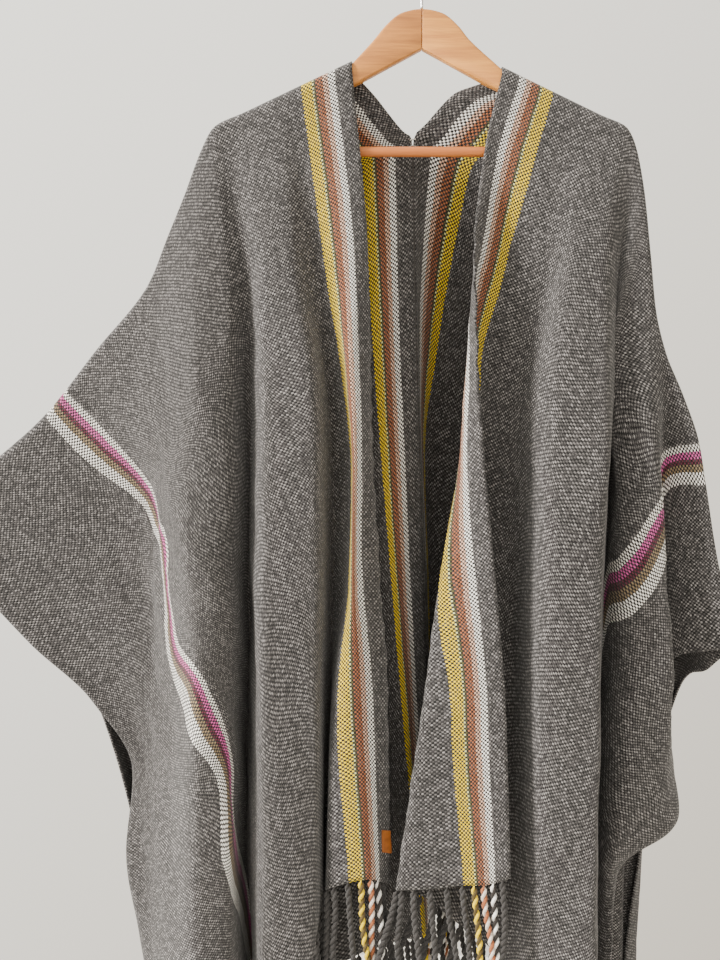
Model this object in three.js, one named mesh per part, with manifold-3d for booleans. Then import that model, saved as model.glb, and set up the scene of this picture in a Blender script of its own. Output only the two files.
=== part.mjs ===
// A ruana: two long woven panels joined down the back and open down the front, fringed at both
// hems, hung on a wooden clothes hanger. Millimetres, +Z up, the front faces -Y.
// The origin is the inside top of the hanger's hook, where the hanger is held.
import * as THREE from "three";
import Module from "manifold-3d";

const wasm = await Module();
wasm.setup();

const WIDTH = 725; // each panel, from its opening edge to its side edge
const HALF = 868; // from the top of the shoulder down to either hem
const WALL = 2.2; // thickness of the cloth
const BEND = 8; // radius at which the cloth goes over the hanger and along the top fold
const SLIT = 115; // the opening goes on this far behind the top of the shoulder
const GAP = 0.3; // left between neighbouring pieces
const EYE = { x: -67, back: 1350 }; // the tables give x as it looks from here, in the hanger's plane

// The top line of each panel, from the neck outwards: the hanger's slope, then the long fold
// down the hanging sleeve. u is measured along the cloth from the opening edge.
const TOP = {
  left: [
    { u: 0, x: -75, z: -118.5 },
    { u: 130, x: -192.9, z: -174.8 },
    { u: 165, x: -224.6, z: -190 },
    { u: 189, x: -237, z: -212.5 },
    { u: 242, x: -256, z: -263 },
    { u: 290, x: -274, z: -307.5 },
    { u: 347, x: -295, z: -359.5 },
    { u: 438, x: -351.5, z: -431 },
    { u: 531, x: -409, z: -503.5 },
    { u: 596, x: -457.5, z: -547 },
    { u: 725, x: -548, z: -615.5 },
  ],
  right: [
    { u: 0, x: 85.7, z: -124.5 },
    { u: 120, x: 194, z: -177.4 },
    { u: 151, x: 222, z: -191 },
    { u: 200, x: 236, z: -236 },
    { u: 300, x: 246, z: -325 },
    { u: 360, x: 251.5, z: -384 },
    { u: 410, x: 262.5, z: -432 },
    { u: 455, x: 281, z: -477.5 },
    { u: 507, x: 298.5, z: -529.5 },
    { u: 543, x: 305, z: -570 },
    { u: 640, x: 320, z: -664 },
    { u: 725, x: 343, z: -745.5 },
  ],
};

// How the cloth falls. A row is a fold line, a ridge or a valley, followed down the cloth from
// the top line at the stations v. u says where on the cloth the fold is (its first number is at
// the top line), x and y say where it hangs, x as seen in the hanger's plane.
const FOLDS = {
  frontLeft: {
    v: [220, 330, 440, 550, 660, 868],
    rows: [
      { fold: "opening edge", u: [0, 0, 0, 0, 0, 0, 0], x: [-58, -55.5, -53, -45.5, -36, -34], y: [-14, -20, -27, -34, -40, -45] },
      { fold: "stripe crest", u: [30, 32, 34, 38, 40, 45, 50], x: [-81, -77, -74, -74.5, -75, -66], y: [-20, -40, -55, -62, -67, -64] },
      { fold: "stripe's far edge", u: [56, 57, 57, 58, 60, 62, 84], x: [-101, -85, -75.5, -76, -89, -102], y: [-15, -27, -38, -47, -60, -58] },
      { fold: "inner valley", u: [66, 72, 78, 88, 105, 125, 148], x: [-112, -100, -96, -97, -99, -108], y: [-12, -8, -6, 0, 6, 6] },
      { fold: "middle ridge, near side", u: [92, 100, 122, 148, 180, 212, 240], x: [-138, -120, -115, -115, -115, -115], y: [-34, -50, -60, -66, -70, -70] },
      { fold: "middle ridge, far side", u: [125, 130, 163.1, 215, 263.9, 300, 320], x: [-168, -168.5, -169, -169.9, -171, -174], y: [-34, -51.8, -66, -74.2, -78, -76] },
      { fold: "outer valley", u: [150, 158, 220.8, 320, 411, 480, 525], x: [-187, -187, -187, -189, -191, -182], y: [-8, -0.7, 6, 12.5, 16, 16] },
      { fold: "outer ridge, near side", u: [165, 185, 295.6, 440, 522, 570, 590], x: [-209, -208.4, -208, -208.5, -209, -208], y: [-32, -48.4, -62, -71.4, -76, -76] },
      { fold: "outer ridge, top", u: [260, 290, 397.9, 525, 582.9, 615, 630], x: [-258, -248.6, -243, -243, -243, -240], y: [-48, -67.1, -80, -82.9, -84, -84] },
      { fold: "outer ridge, far side", u: [400, 420, 503.2, 600, 639.4, 660, 668], x: [-281, -276, -273, -274, -275, -272], y: [-30, -23.8, -20, -29, -40, -45] },
      { fold: "sleeve", u: [510, 525, 599, 675, 688.7, 695, 698], x: [-291, -295.4, -298, -295.8, -292, -286], y: [6, 6, 6, -1, -10, -15] },
      { fold: "sleeve, low", u: [610, 620, 660, 700, 706.8, 710, 712], x: [-340, -319.6, -306, -303.9, -302, -286], y: [10, 9.2, 8, 2, -4, -6] },
      { fold: "side edge", u: [725, 725, 725, 725, 725, 725, 725], x: [-425, -356, -314, -322, -309, -285], y: [0, 6.2, 10, 5, 0, 0] },
    ],
    slack: [ { u: 0, k: 1.02 }, { u: 57, k: 0.985 }, { u: 165, k: 1 }, { u: 260, k: 1 }, { u: 525, k: 0.82 }, { u: 725, k: 0.76 } ],
  },
  frontRight: {
    v: [90, 200, 320, 440, 540, 700, 868],
    rows: [
      { fold: "opening edge", u: [0, 0, 0, 0, 0, 0, 0, 0], x: [70, 59, 62, 70, 79, 92, 97], y: [-12, -26, -42, -50, -56, -64, -70] },
      { fold: "lapel, middle", u: [4, 4, 5, 15, 26, 36, 57, 57], x: [71.5, 60, 57, 48, 43, 37, 50], y: [-11.5, -24, -34, -34, -42, -58, -68] },
      { fold: "turned-back crest", u: [8, 8, 9, 30, 50, 60, 92, 124], x: [73, 61, 50, 37, 20, -1, -27], y: [-11, -22, -22, -14, -26, -50, -62] },
      { fold: "behind the crest", u: [40, 42, 57, 60, 83, 95, 130, 160], x: [102, 88, 62, 62, 52, 35, 13], y: [-8, 4, -4, 2, -8, -32, -46] },
      { fold: "shadow", u: [80, 85, 105, 112, 120, 140, 188, 235], x: [145, 132, 103, 96, 93, 90, 85], y: [-8, -2, 6, 10, 4, -8, -22] },
      { fold: "great ridge, near side", u: [115, 120, 150, 176, 207, 222, 255, 300], x: [177, 156, 145, 141, 136, 133, 133], y: [-14, -30, -46, -60, -64, -66, -62] },
      { fold: "great ridge, far side", u: [145, 150, 200, 226, 262, 282, 320, 365], x: [204, 199, 199, 194, 194, 189, 184], y: [-14, -34, -52, -66, -70, -72, -70] },
      { fold: "narrow valley", u: [160, 172, 250, 300, 340, 350, 380, 420], x: [215, 207, 200, 192, 189, 186, 183], y: [-8, 2, -2, -4, -4, -4, -4] },
      { fold: "hidden pleat", u: [190, 235, 370, 450, 500, 515, 535, 555], x: [213, 202, 188, 170, 156, 148, 146], y: [0, 20, 30, 30, 26, 18, 14] },
      { fold: "sleeve ridge, near side", u: [215, 300, 495, 600, 690, 694, 698, 700], x: [211, 206, 198, 190, 178, 162, 157], y: [-10, 4, 8, 14, 36, 42, 42] },
      { fold: "sleeve ridge, inner edge", u: [270, 435, 512, 614, 697, 700, 703, 705], x: [208, 214, 206, 194, 182, 166, 161], y: [-16, -16, -14, -4, 30, 42, 44] },
      { fold: "sleeve ridge, top", u: [315, 468, 545, 650, 705, 707, 709, 710], x: [234, 240, 228, 203, 188, 172, 168], y: [-28, -34, -34, -22, 14, 36, 42] },
      { fold: "sleeve ridge, far side", u: [360, 500, 592, 700, 714, 715, 716, 717], x: [258, 270, 264, 208, 196, 182, 178], y: [-32, -32, -22, -14, 0, 30, 36] },
      { fold: "behind the sleeve ridge", u: [395, 530, 622, 714, 720, 721, 721, 722], x: [257, 266, 273, 211, 202, 190, 186], y: [18, 12, -10, -12, -6, 28, 34] },
      { fold: "side edge", u: [725, 725, 725, 725, 725, 725, 725, 725], x: [270, 268, 281, 213, 206, 196, 190], y: [22, 50, -4, -10, -8, 26, 30] },
    ],
    slack: [ { u: 0, k: 1 }, { u: 151, k: 1 }, { u: 400, k: 0.92 }, { u: 525, k: 0.82 }, { u: 725, k: 0.74 } ],
  },
  backLeft: {
    v: [60, 100, 115, 135, 300, 580, 868],
    rows: [
      { fold: "seam", u: [0, 0, 0, 0, 0, 0, 0, 0], x: [-41, -18.4, -9.8, -9.6, -6.5, 2.7, 17.4], y: [17, 25, 28, 29, 34, 44, 56] },
      { fold: "seam turn", u: [10, 10, 10, 10, 10, 10, 10, 10], x: [-50, -27.5, -19, -18.6, -15, -4, 11], y: [17, 25, 28, 28.5, 32, 38, 48] },
      { fold: "stripe", u: [57, 57, 57, 57, 57, 57, 57, 57], x: [-93, -69.7, -61, -60, -50, -26, 2], y: [15, 21, 24, 22, 14, 10, 12] },
      { fold: "first valley", u: [100, 105, 108.6, 110, 112, 130, 150, 160], x: [-130, -111.1, -107, -104.5, -94, -76, -56], y: [18, 27.6, 30, 32.1, 42, 44, 50] },
      { fold: "first ridge", u: [165, 170, 176.1, 178, 179.8, 190, 205, 215], x: [-194, -176.5, -172, -168.1, -149, -132, -119], y: [14, 21.2, 24, 27.9, 60, 80, 88] },
      { fold: "second valley", u: [210, 215, 225.7, 230, 234.9, 270, 300, 320], x: [-235, -221.1, -217, -212.5, -187, -174, -165], y: [12, 18.3, 20, 21.6, 30, 36, 38] },
      { fold: "second ridge", u: [300, 305, 323, 330, 336.9, 380, 420, 440], x: [-270, -260.3, -257, -252.9, -225, -210, -202], y: [14, 33, 38, 42.7, 66, 84, 90] },
      { fold: "third valley", u: [430, 435, 445.5, 450, 455.6, 500, 540, 560], x: [-333, -319.1, -314, -306.9, -254, -241, -230], y: [9, 12.7, 14, 15.5, 26, 36, 38] },
      { fold: "third ridge", u: [560, 565, 576, 580, 584.2, 610, 630, 640], x: [-412, -391.5, -384, -373.6, -295, -262, -252], y: [11, 20.9, 24, 27.6, 50, 66, 70] },
      { fold: "side edge", u: [725, 725, 725, 725, 725, 725, 725, 725], x: [-512, -484.1, -474, -460.6, -362, -306, -278], y: [9, 12.8, 14, 15.4, 24, 34, 34] },
    ],
    slack: [ { u: 0, k: 1.14 }, { u: 165, k: 1.11 }, { u: 525, k: 0.82 }, { u: 725, k: 0.77 } ],
  },
  backRight: {
    v: [60, 100, 115, 135, 300, 400, 580, 868],
    rows: [
      { fold: "seam", u: [0, 0, 0, 0, 0, 0, 0, 0, 0], x: [36, 2.7, -9.8, -9.6, -6.5, -3.5, 2.7, 17.4], y: [17, 25, 28, 29, 34, 37.4, 44, 56] },
      { fold: "seam turn", u: [10, 10, 10, 10, 10, 10, 10, 10, 10], x: [44.8, 11.4, -1, -2, -5, -2.3, 4, 19], y: [17, 27, 31, 34, 43, 46.5, 52, 64] },
      { fold: "white edge", u: [18, 18, 18, 18, 18, 18, 18, 18, 18], x: [53, 20.7, 8.5, 4.5, -3.5, -1.5, 5, 20.5], y: [18, 30, 35, 39, 51, 54.7, 60, 72] },
      { fold: "stripe", u: [57, 57, 57, 57, 57, 57, 57, 57, 57], x: [92, 61.4, 50, 45, 14, 0.5, 7, 24], y: [20, 36, 42, 50, 84, 90.8, 98, 106] },
      { fold: "first ridge", u: [100, 105, 109.2, 110, 110.4, 112, 113, 115, 120], x: [122, 100, 91, 84, 50, 44, 50, 72], y: [22, 36.8, 42, 49.1, 98, 102.2, 106, 110] },
      { fold: "broad back", u: [140, 145, 161.8, 165, 165, 165, 166.1, 170, 175], x: [152, 141, 137, 132, 94, 94.4, 97, 122], y: [16, 29.3, 34, 40.4, 84, 85, 86, 88] },
      { fold: "first valley", u: [200, 205, 224.3, 230, 233.6, 250, 258.2, 270, 280], x: [200, 186.6, 182, 176, 137, 134.6, 133, 152], y: [12, 22.4, 26, 30.8, 64, 67.2, 70, 72] },
      { fold: "second ridge", u: [300, 310, 321.4, 325, 328.7, 350, 358.7, 370, 380], x: [234, 225.3, 222, 217.4, 182, 175.9, 171, 182], y: [16, 34, 40, 47.5, 96, 102.3, 108, 112] },
      { fold: "second valley", u: [430, 435, 442.3, 445, 448.2, 470, 478.7, 490, 500], x: [264, 257.6, 255, 250.9, 213, 203.9, 196, 198], y: [14, 22.8, 26, 30.4, 62, 66.3, 70, 72] },
      { fold: "third ridge", u: [560, 565, 572.3, 575, 578.2, 600, 604.8, 610, 615], x: [300, 290, 286, 279.9, 228, 219.6, 212, 208], y: [24, 52.2, 60, 67.9, 108, 112.6, 116, 116] },
      { fold: "side edge", u: [725, 725, 725, 725, 725, 725, 725, 725, 725], x: [312, 289.1, 283, 277.2, 248, 236.9, 226, 232], y: [24, 56.3, 64, 70.3, 98, 96.6, 92, 88] },
    ],
    slack: [ { u: 0, k: 1.14 }, { u: 151, k: 1.11 }, { u: 400, k: 0.98 }, { u: 525, k: 0.87 }, { u: 725, k: 0.72 } ],
  },
};

// A smooth line through given points that never overshoots them.
function smooth(ts, fs) {
  const n = ts.length;
  const d = [];
  for (let i = 0; i < n - 1; i++) d.push((fs[i + 1] - fs[i]) / (ts[i + 1] - ts[i]));
  const m = [d[0]];
  for (let i = 1; i < n - 1; i++) {
    if (d[i - 1] * d[i] <= 0) m.push(0);
    else {
      const a = ts[i] - ts[i - 1];
      const b = ts[i + 1] - ts[i];
      m.push((3 * (a + b)) / ((2 * b + a) / d[i - 1] + (b + 2 * a) / d[i]));
    }
  }
  m.push(d[n - 2]);
  return (t) => {
    let i = 0;
    while (i < n - 2 && t > ts[i + 1]) i++;
    const h = ts[i + 1] - ts[i];
    const s = Math.min(Math.max((t - ts[i]) / h, 0), 1);
    const r = 1 - s;
    return r * r * (1 + 2 * s) * fs[i] + s * s * (3 - 2 * s) * fs[i + 1] + s * r * h * (r * m[i] - s * m[i + 1]);
  };
}

// One quarter of the ruana as a function that gives a point of the cloth's middle surface.
function quarterOf(table, top, front) {
  const topX = smooth(top.map((p) => p.u), top.map((p) => p.x));
  const topZ = smooth(top.map((p) => p.u), top.map((p) => p.z));
  const slack = smooth(table.slack.map((p) => p.u), table.slack.map((p) => p.k));
  const v = [0, ...table.v];
  const below = [(BEND * Math.PI) / 2, ...table.v];
  const side = front ? -1 : 1;
  const lines = table.rows.map((row) => {
    const u = smooth(v, row.u);
    const x = row.x.map((seen, i) => EYE.x + ((seen - EYE.x) * (EYE.back + row.y[i])) / EYE.back);
    return {
      u,
      x: smooth(v, [topX(row.u[0]), ...x]),
      shift: smooth(below, [0, ...x.map((at, i) => at - topX(row.u[i + 1]))]),
      y: smooth(below, [side * BEND, ...row.y]),
    };
  });
  // Near the top the cloth keeps the top line's shape, and lower down only the folds shape it.
  const flat = (u, s) => {
    const us = lines.map((l) => l.u(s));
    const free = Math.min(s / 170, 1) ** 2;
    const x =
      (1 - free) * (topX(u) + smooth(us, lines.map((l) => l.shift(s)))(u)) +
      free * smooth(us, lines.map((l) => l.x(s)))(u);
    const y = smooth(us, lines.map((l) => l.y(s)))(u);
    return s < (BEND * Math.PI) / 2 ? [topX(u), side * BEND * Math.sin(s / BEND)] : [x, y];
  };
  const falls = new Map();
  const fall = (u) => {
    if (falls.has(u)) return falls.get(u);
    const step = 6;
    const bend = (BEND * Math.PI) / 2;
    const out = [{ s: bend, z: BEND }];
    let [x, y] = flat(u, bend);
    for (let s = bend; s < HALF + 12; s += step) {
      const [x1, y1] = flat(u, s + step);
      const lean = ((x1 - x) ** 2 + (y1 - y) ** 2) / step ** 2;
      out.push({ s: s + step, z: out[out.length - 1].z + step * slack(u) * Math.sqrt(Math.max(1 - lean, 0.06)) });
      [x, y] = [x1, y1];
    }
    falls.set(u, out);
    return out;
  };
  return (u, s) => {
    const [x, y] = flat(u, s);
    if (s <= (BEND * Math.PI) / 2) return new THREE.Vector3(x, y, topZ(u) - BEND * (1 - Math.cos(s / BEND)));
    const f = fall(u);
    let i = 0;
    while (i < f.length - 2 && s > f[i + 1].s) i++;
    const t = (s - f[i].s) / (f[i + 1].s - f[i].s);
    return new THREE.Vector3(x, y, topZ(u) - f[i].z - t * (f[i + 1].z - f[i].z));
  };
}

const raw = {
  left: { front: quarterOf(FOLDS.frontLeft, TOP.left, true), back: quarterOf(FOLDS.backLeft, TOP.left, false) },
  right: { front: quarterOf(FOLDS.frontRight, TOP.right, true), back: quarterOf(FOLDS.backRight, TOP.right, false) },
};

// Behind the slit both panels hang from the one seam, so each gives way to the other there.
function surface(hand) {
  const { front, back } = raw[hand];
  const away = hand === "left" ? -1 : 1;
  return (u, v) => {
    if (v >= 0) return front(u, v);
    const p = back(u, -v);
    const other = raw[hand === "left" ? "right" : "left"].back(0, -v).sub(back(0, -v));
    p.z += 0.5 * other.z * Math.min(1, Math.max(0, (-v - 60) / (SLIT - 60))) * Math.exp(-((u / 160) ** 2));
    if (-v > SLIT - 1) {
      p.x += 0.5 * other.x * Math.exp(-((u / 60) ** 2)) + (away * (GAP / 2) * Math.max(0, 40 - u)) / 40;
      p.y += 0.5 * other.y * Math.exp(-((u / 60) ** 2));
    }
    return p;
  };
}
const cloth = { left: surface("left"), right: surface("right") };

const COLUMNS = [0, 12, 35, 57, 80, 105, 130, 155, 180, 205, 232, 262, 292, 325, 360, 400, 440, 480, 520, 560, 600, 640, 672, 700, 725];
const ROWS = [0, 4.2, 8.4, 12.6, 35, 60, 88, 115, 150, 190, 230, 270, 310, 350, 390, 430, 470, 515, 560, 605, 650, 695, 740, 776, 812, 836, 868];

// Which way the outside of the cloth faces. Along the seam both panels face straight back.
function facing(hand, u, v) {
  const p = cloth[hand];
  const du = 1.5;
  const dv = 1.5;
  const a = p(Math.min(u + du, WIDTH), v).sub(p(Math.max(u - du, 0), v));
  const b = p(u, Math.min(v + dv, HALF + 10)).sub(p(u, Math.max(v - dv, -HALF - 10)));
  const n = hand === "left" ? a.cross(b) : b.cross(a);
  if (u < 1 && v < -SLIT + 1) return new THREE.Vector3(0, 1, 0);
  return n.normalize();
}

// A closed wall on a grid of columns and rows of one panel.
function wall(hand, columns, rows, thick = WALL) {
  const nu = columns.length;
  const nv = rows.length;
  const at = [];
  for (const sign of [1, -1])
    for (const v of rows)
      for (const u of columns) {
        const q = cloth[hand](u, v).addScaledVector(facing(hand, u, Math.sign(v) * Math.min(Math.abs(v), HALF)), (sign * thick) / 2);
        at.push(q.x, q.y, q.z);
      }
  const id = (s, j, i) => s * nu * nv + j * nu + i;
  const tris = [];
  const quad = (a, b, c, d) => tris.push(a, b, c, a, c, d);
  for (let j = 0; j < nv - 1; j++)
    for (let i = 0; i < nu - 1; i++) {
      quad(id(0, j, i), id(0, j, i + 1), id(0, j + 1, i + 1), id(0, j + 1, i));
      quad(id(1, j, i), id(1, j + 1, i), id(1, j + 1, i + 1), id(1, j, i + 1));
    }
  for (let j = 0; j < nv - 1; j++) {
    quad(id(0, j, 0), id(0, j + 1, 0), id(1, j + 1, 0), id(1, j, 0));
    quad(id(0, j, nu - 1), id(1, j, nu - 1), id(1, j + 1, nu - 1), id(0, j + 1, nu - 1));
  }
  for (let i = 0; i < nu - 1; i++) {
    quad(id(0, 0, i), id(1, 0, i), id(1, 0, i + 1), id(0, 0, i + 1));
    quad(id(0, nv - 1, i), id(0, nv - 1, i + 1), id(1, nv - 1, i + 1), id(1, nv - 1, i));
  }
  return outward(at, tris);
}

// Turns the faces round where they point inwards.
function outward(at, tris) {
  let six = 0;
  for (let t = 0; t < tris.length; t += 3) {
    const [a, b, c] = [0, 1, 2].map((k) => new THREE.Vector3().fromArray(at, 3 * tris[t + k]));
    six += a.dot(b.cross(c));
  }
  if (six < 0) for (let t = 0; t < tris.length; t += 3) [tris[t + 1], tris[t + 2]] = [tris[t + 2], tris[t + 1]];
  return { at, tris };
}

function geometryOf({ at, tris }) {
  const g = new THREE.BufferGeometry();
  g.setAttribute("position", new THREE.Float32BufferAttribute(at, 3));
  g.setIndex(Array.from(tris));
  g.computeVertexNormals();
  return g;
}

const solidOf = ({ at, tris }) =>
  new wasm.Manifold(new wasm.Mesh({ numProp: 3, vertProperties: new Float32Array(at), triVerts: new Uint32Array(tris) }));

function meshOf(solid) {
  const m = solid.getMesh();
  return { at: Array.from(m.vertProperties), tris: Array.from(m.triVerts) };
}

// A rod of n sides through a row of points, closed at both ends.
function rod(points, radii, n, turn = 0) {
  const at = [];
  const tris = [];
  let side = null;
  points.forEach((p, k) => {
    const before = points[Math.max(k - 1, 0)];
    const after = points[Math.min(k + 1, points.length - 1)];
    const along = after.clone().sub(before).normalize();
    side = (side ?? new THREE.Vector3(0, 1, 0)).clone().addScaledVector(along, -along.dot(side ?? new THREE.Vector3(0, 1, 0))).normalize();
    const up = along.clone().cross(side);
    for (let i = 0; i < n; i++) {
      const a = turn + (2 * Math.PI * i) / n;
      const q = p.clone().addScaledVector(side, radii[k] * Math.cos(a)).addScaledVector(up, radii[k] * Math.sin(a));
      at.push(q.x, q.y, q.z);
    }
  });
  const last = points.length - 1;
  for (let k = 0; k < last; k++)
    for (let i = 0; i < n; i++) {
      const j = (i + 1) % n;
      tris.push(k * n + i, k * n + j, (k + 1) * n + j, k * n + i, (k + 1) * n + j, (k + 1) * n + i);
    }
  for (let i = 1; i < n - 1; i++) {
    tris.push(0, i + 1, i);
    tris.push(last * n, last * n + i, last * n + i + 1);
  }
  return outward(at, tris);
}

// The fringe of one hem: a narrow strip under the cloth's edge with the strands fused to it.
const STRANDS = 57;
const LONG = 100;
function fringe(hand, end) {
  const sign = end === "front" ? 1 : -1;
  const p = cloth[hand];
  const strip = wall(hand, COLUMNS, [sign * (HALF + 1.5 * GAP), sign * (HALF + 4.5)].sort((a, b) => a - b), 1.7);
  const strands = [];
  for (let i = 0; i < STRANDS; i++) {
    const u = 6 + ((WIDTH - 12) * (i + 0.5)) / STRANDS;
    // The strip is flat from one column to the next, and the root lies in that flat.
    const c = COLUMNS.findIndex((x) => x > u);
    const t = (u - COLUMNS[c - 1]) / (COLUMNS[c] - COLUMNS[c - 1]);
    const root = p(COLUMNS[c - 1], sign * (HALF + 2.3)).lerp(p(COLUMNS[c], sign * (HALF + 2.3)), t);
    const down = p(u, sign * (HALF + 8)).sub(p(u, sign * (HALF - 8))).normalize();
    const out = facing(hand, u, sign * (HALF - 1));
    // A strand that would go through the lower cloth beside it leans away from it.
    const leans = [0, 3, -3, 6, -6, 10, -10, 15, -15, 22, -22];
    const tips = leans.map((lean) => root.clone().addScaledVector(down, LONG).addScaledVector(out, lean));
    const tip = tips.find((q) => {
      const room = solidOf(rod([root, q], [0.8, 2.7], 3, 0.5));
      return panels.every((panel) => panel.intersect(room).volume() < 1e-6);
    });
    if (tip) strands.push(solidOf(rod([root, tip], [0.5, 2.1], 3, 0.5)));
  }
  // What still touches the panel is cut back to a small gap.
  const cut = wasm.Manifold.union([solidOf(strip), ...strands]).subtract(solidOf(wall(hand, COLUMNS, both, WALL + 2 * GAP)));
  return meshOf(cut.decompose().sort((a, b) => b.volume() - a.volume())[0].simplify(0.03));
}

// The hanger: two arms that meet at the middle, a bar for trousers and a wire hook.
const ARM = { thick: 12, tall: 25, foot: { x: 186, z: -228 } };
function arm(hand) {
  const away = hand === "left" ? -1 : 1;
  const top = TOP[hand];
  const lift = 2.3; // the cloth's inside rests on the arm with a hair's gap
  const slope = (top[2].z - top[0].z) / Math.abs(top[2].x - top[0].x);
  const topAt = (x) => top[0].z - lift + slope * (x - Math.abs(top[0].x));
  const neck = Math.abs(top[0].x);
  const tip = Math.abs(top[2].x) - 15;
  const curve = (points) => new THREE.SplineCurve(points.map(([x, z]) => new THREE.Vector2(x, z))).getPoints(points.length * 2 - 1);
  const mid = GAP / 2;
  const outline = [
    ...curve([[mid, -62], [12, -63.5], [26, -68.5], [40, -81], [54, -98], [neck, topAt(neck)]]),
    new THREE.Vector2(tip, topAt(tip)),
    new THREE.Vector2(tip + 4, topAt(tip) - 8),
    new THREE.Vector2(tip + 1, ARM.foot.z),
    new THREE.Vector2(ARM.foot.x, ARM.foot.z),
    new THREE.Vector2(ARM.foot.x, topAt(ARM.foot.x) - ARM.tall),
    new THREE.Vector2(66, topAt(66) - ARM.tall),
    new THREE.Vector2(mid, -105.4),
  ];
  return slab(outline.map((p) => [away * p.x, p.y]), ARM.thick, 3.2);
}

// A flat board with its outline in XZ and a bevel round both faces.
function slab(outline, thick, bevel) {
  const turn = outline.reduce((sum, [x, z], i) => {
    const [x1, z1] = outline[(i + 1) % outline.length];
    return sum + x * z1 - x1 * z;
  }, 0);
  const points = turn > 0 ? outline : outline.slice().reverse();
  const n = points.length;
  const inset = points.map(([x, z], i) => {
    const before = new THREE.Vector2(...points[(i + n - 1) % n]);
    const after = new THREE.Vector2(...points[(i + 1) % n]);
    const here = new THREE.Vector2(x, z);
    const a = here.clone().sub(before).normalize();
    const b = after.sub(here).normalize();
    const inward = new THREE.Vector2(-(a.y + b.y), a.x + b.x).normalize();
    const keep = Math.max(inward.dot(new THREE.Vector2(-b.y, b.x)), 0.5);
    return [x + (inward.x * bevel) / keep, z + (inward.y * bevel) / keep];
  });
  const at = [];
  const tris = [];
  const rings = [[inset, -thick / 2], [points, bevel - thick / 2], [points, thick / 2 - bevel], [inset, thick / 2]];
  for (const [ring, y] of rings) for (const [x, z] of ring) at.push(x, y, z);
  for (let k = 0; k < 3; k++)
    for (let i = 0; i < n; i++) {
      const j = (i + 1) % n;
      tris.push(k * n + i, (k + 1) * n + j, k * n + j, k * n + i, (k + 1) * n + i, (k + 1) * n + j);
    }
  for (const [a, b, c] of wasm.triangulate([inset]))
    tris.push(a, b, c, 3 * n + a, 3 * n + c, 3 * n + b);
  return outward(at, tris);
}

function hook() {
  const r = 18 + 1.6;
  const points = [new THREE.Vector3(0, 0, -61.4), new THREE.Vector3(0, 0, -50), new THREE.Vector3(0, 0, -42)];
  for (let a = -80; a <= 205; a += 15)
    points.push(new THREE.Vector3(r * Math.cos((a * Math.PI) / 180), 0, -18 + r * Math.sin((a * Math.PI) / 180)));
  return rod(points, points.map(() => 1.6), 8);
}

// The leather tab is folded over the left front's opening edge, near the hem.
function tab() {
  const v = [812.6, 835.4];
  const inside = WALL / 2 + GAP;
  const outside = inside + 1.2;
  const profile = [
    [9, outside], [-outside + 1, outside], [-outside, outside - 1], [-outside, -outside + 1], [-outside + 1, -outside],
    [9, -outside], [9, -inside], [-GAP - 0.2, -inside], [-GAP - 0.2, inside], [9, inside],
  ];
  const at = [];
  for (const w of v) {
    const t = (w - 812) / 24;
    const a = cloth.left(0, 812).lerp(cloth.left(0, 836), t);
    const b = cloth.left(12, 812).lerp(cloth.left(12, 836), t);
    const along = b.clone().sub(a).normalize();
    const n = facing("left", 0, 812).lerp(facing("left", 0, 836), t).normalize();
    for (const [x, y] of profile) {
      const q = a.clone().addScaledVector(along, x).addScaledVector(n, y);
      at.push(q.x, q.y, q.z);
    }
  }
  const n = profile.length;
  const tris = [];
  const faces = THREE.ShapeUtils.triangulateShape(profile.map(([x, y]) => new THREE.Vector2(x, y)), []);
  for (const [a, b, c] of faces) tris.push(a, b, c, n + a, n + c, n + b);
  for (let i = 0; i < n; i++) {
    const j = (i + 1) % n;
    tris.push(i, n + i, n + j, i, n + j, j);
  }
  return outward(at, tris);
}

const MATERIAL = {
  wool: new THREE.MeshStandardMaterial({ color: 0x66625e, roughness: 0.95, metalness: 0 }),
  beech: new THREE.MeshStandardMaterial({ color: 0xdeaa73, roughness: 0.45, metalness: 0 }),
  steel: new THREE.MeshStandardMaterial({ color: 0xc8c8c6, roughness: 0.25, metalness: 1 }),
  leather: new THREE.MeshStandardMaterial({ color: 0xb5713a, roughness: 0.55, metalness: 0 }),
};

const ruana = new THREE.Group();
ruana.name = "ruana_on_hanger";
function add(name, geometry, material) {
  const mesh = new THREE.Mesh(geometry, material);
  mesh.name = name;
  ruana.add(mesh);
}

const both = [...ROWS.slice(1).map((v) => -v).reverse(), ...ROWS];
const panels = ["left", "right"].map((hand) => solidOf(wall(hand, COLUMNS, both)));
for (const hand of ["left", "right"]) {
  add(hand + "_panel", geometryOf(wall(hand, COLUMNS, both)), MATERIAL.wool);
  for (const end of ["front", "back"]) add(`fringe_${end}_${hand}`, geometryOf(fringe(hand, end)), MATERIAL.wool);
  add("hanger_arm_" + hand, geometryOf(arm(hand)), MATERIAL.beech);
}
const reach = ARM.foot.x - GAP;
add(
  "trouser_bar",
  geometryOf(rod([new THREE.Vector3(-reach, 0, -216), new THREE.Vector3(reach, 0, -216)], [5.5, 5.5], 12)),
  MATERIAL.beech,
);
add("hook", geometryOf(hook()), MATERIAL.steel);
add("label_tab", geometryOf(tab()), MATERIAL.leather);

export default ruana;
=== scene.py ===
"""A ruana, the open-fronted woollen wrap of two woven lengths, hung on a wooden clothes hanger."""

import math

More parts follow.
